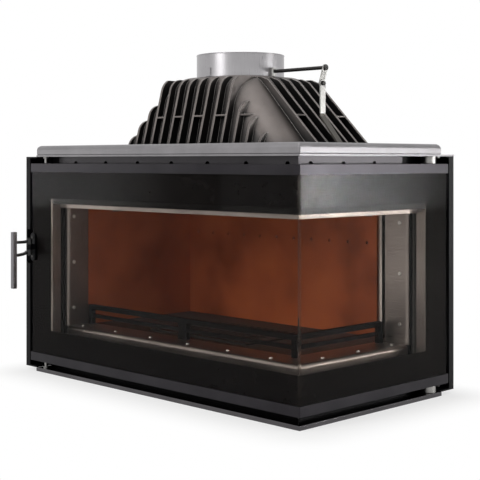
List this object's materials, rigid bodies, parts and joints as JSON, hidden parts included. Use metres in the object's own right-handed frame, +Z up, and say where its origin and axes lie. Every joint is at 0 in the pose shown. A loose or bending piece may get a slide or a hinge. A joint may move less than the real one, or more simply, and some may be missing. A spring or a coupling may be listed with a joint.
{
  "type": "corner fireplace insert",
  "caption": "Wood-burning fireplace insert, glazed on the front and one side, with a swinging L-shaped glass door, a finned cast hood and a round flue collar with a damper.",
  "frame": {"origin": "on the underside of the base plate, straight below the flue collar's axis", "axes": "+Z up along the flue, -Y out of the long glazed front, +X out of the glazed side that carries the door's hinge"},
  "size_m": [0.887, 0.6225, 0.74],
  "materials": {
    "casing_paint": "matt black heat-proof paint",
    "cover_paint": "satin grey metallic paint",
    "strip_paint": "satin dark grey metallic paint",
    "black_paint": "matt black",
    "bare_sheet": "dull mill-finish sheet",
    "stainless": "satin stainless steel",
    "heat_tinted_steel": "heat-tinted reddish brown",
    "zinc": "zinc plated",
    "cast_iron": "rough casting, dark grey brown",
    "ceramic_glass": "clear, polished",
    "black_print": "black glazed print on the glass",
    "rope_seal": "woven glass-fibre rope, dark grey",
    "fireboard": null
  },
  "bodies": {
    "casing": {"base_plate": "casing_paint", "floor_pan": "bare_sheet", "rear_wall": "bare_sheet", "left_wall": "bare_sheet", "left_jamb": "casing_paint", "hinge_jamb": "casing_paint", "top_plate": "cover_paint", "top_cover": "cover_paint", "lower_face_band": "casing_paint", "upper_face_band": "casing_paint", "left_face_post": "casing_paint", "hinge_face_post": "casing_paint", "ledge_trim": "stainless", "left_trim": "stainless", "right_trim": "stainless", "trim_screws": "stainless", "left_lining": "heat_tinted_steel", "back_lining": "heat_tinted_steel", "hearth_plate": "cast_iron", "ash_box": "bare_sheet", "baffle_supports": "bare_sheet", "air_slot_strip": "bare_sheet", "hood": "cast_iron", "hood_bolts": "zinc", "flue_collar": "stainless", "damper_bush": "zinc", "link_guide": "black_paint", "hinge_pins": "zinc", "latch_keeper": "black_paint", "centring_pins": "zinc", "air_spigot": "bare_sheet"},
    "door": {"door_top_strip": "strip_paint", "door_bottom_strip": "strip_paint", "front_glass": "ceramic_glass", "side_glass": "ceramic_glass", "front_print": "black_print", "side_print": "black_print", "corner_seal": "ceramic_glass", "latch_stile": "stainless", "hinge_stile": "stainless", "door_top_channel": "casing_paint", "door_bottom_channel": "casing_paint", "air_wash_strip": "stainless", "hinge_bushes": "zinc", "door_seal": "rope_seal", "handle_bracket": "black_paint", "handle_pin": "zinc", "door_screws": "zinc"},
    "handle": {"handle": "stainless"},
    "grate": {"grate": "cast_iron"},
    "ash_pan": {"ash_pan": "bare_sheet"},
    "log_guard": {"log_guard": "black_paint"},
    "baffle": {"baffle": "fireboard"},
    "damper": {"damper_shaft": "zinc", "damper_flap": "zinc", "damper_crank": "zinc"},
    "damper_link": {"damper_link": "zinc", "link_bolt": "zinc"},
    "air_flap": {"air_flap": "zinc", "air_flap_shaft": "zinc"}
  },
  "joints": [
    {"name": "door_hinge", "type": "hinge", "parent": "casing", "child": "door", "pos_m": [0.4155, 0.15, 0.024], "axis": [0, 0, 1], "range_deg": [0, 90]},
    {"name": "handle_pivot", "type": "hinge", "parent": "door", "child": "handle", "pos_m": [-0.42, -0.29, 0.295], "axis": [0, 0, 1], "range_deg": [0, 14]},
    {"name": "grate_lift", "type": "slide", "parent": "casing", "child": "grate", "axis": [0, 0, 1], "range_m": [0, 0.06]},
    {"name": "ash_pan_lift", "type": "slide", "parent": "casing", "child": "ash_pan", "axis": [0, 0, 1], "range_m": [0, 0.014]},
    {"name": "log_guard_lift", "type": "slide", "parent": "casing", "child": "log_guard", "axis": [0, 0, 1], "range_m": [0, 0.06]},
    {"name": "baffle_lift", "type": "slide", "parent": "casing", "child": "baffle", "axis": [0, 0, 1], "range_m": [0, 0.02]},
    {"name": "damper_turn", "type": "hinge", "parent": "casing", "child": "damper", "pos_m": [0, 0, 0.6985], "axis": [-1, 0, 0], "range_deg": [0, 80]},
    {"name": "link_swing", "type": "hinge", "parent": "damper", "child": "damper_link", "pos_m": [0.258, -0.01188, 0.66399], "axis": [-1, 0, 0], "range_deg": [-80, 0]},
    {"name": "air_flap_turn", "type": "hinge", "parent": "casing", "child": "air_flap", "pos_m": [-0.2, 0.235, 0.066], "axis": [-1, 0, 0], "range_deg": [0, 90]}
  ],
  "couplings": [
    {"joint": "link_swing", "follows": "damper_turn", "ratio": -1}
  ]
}
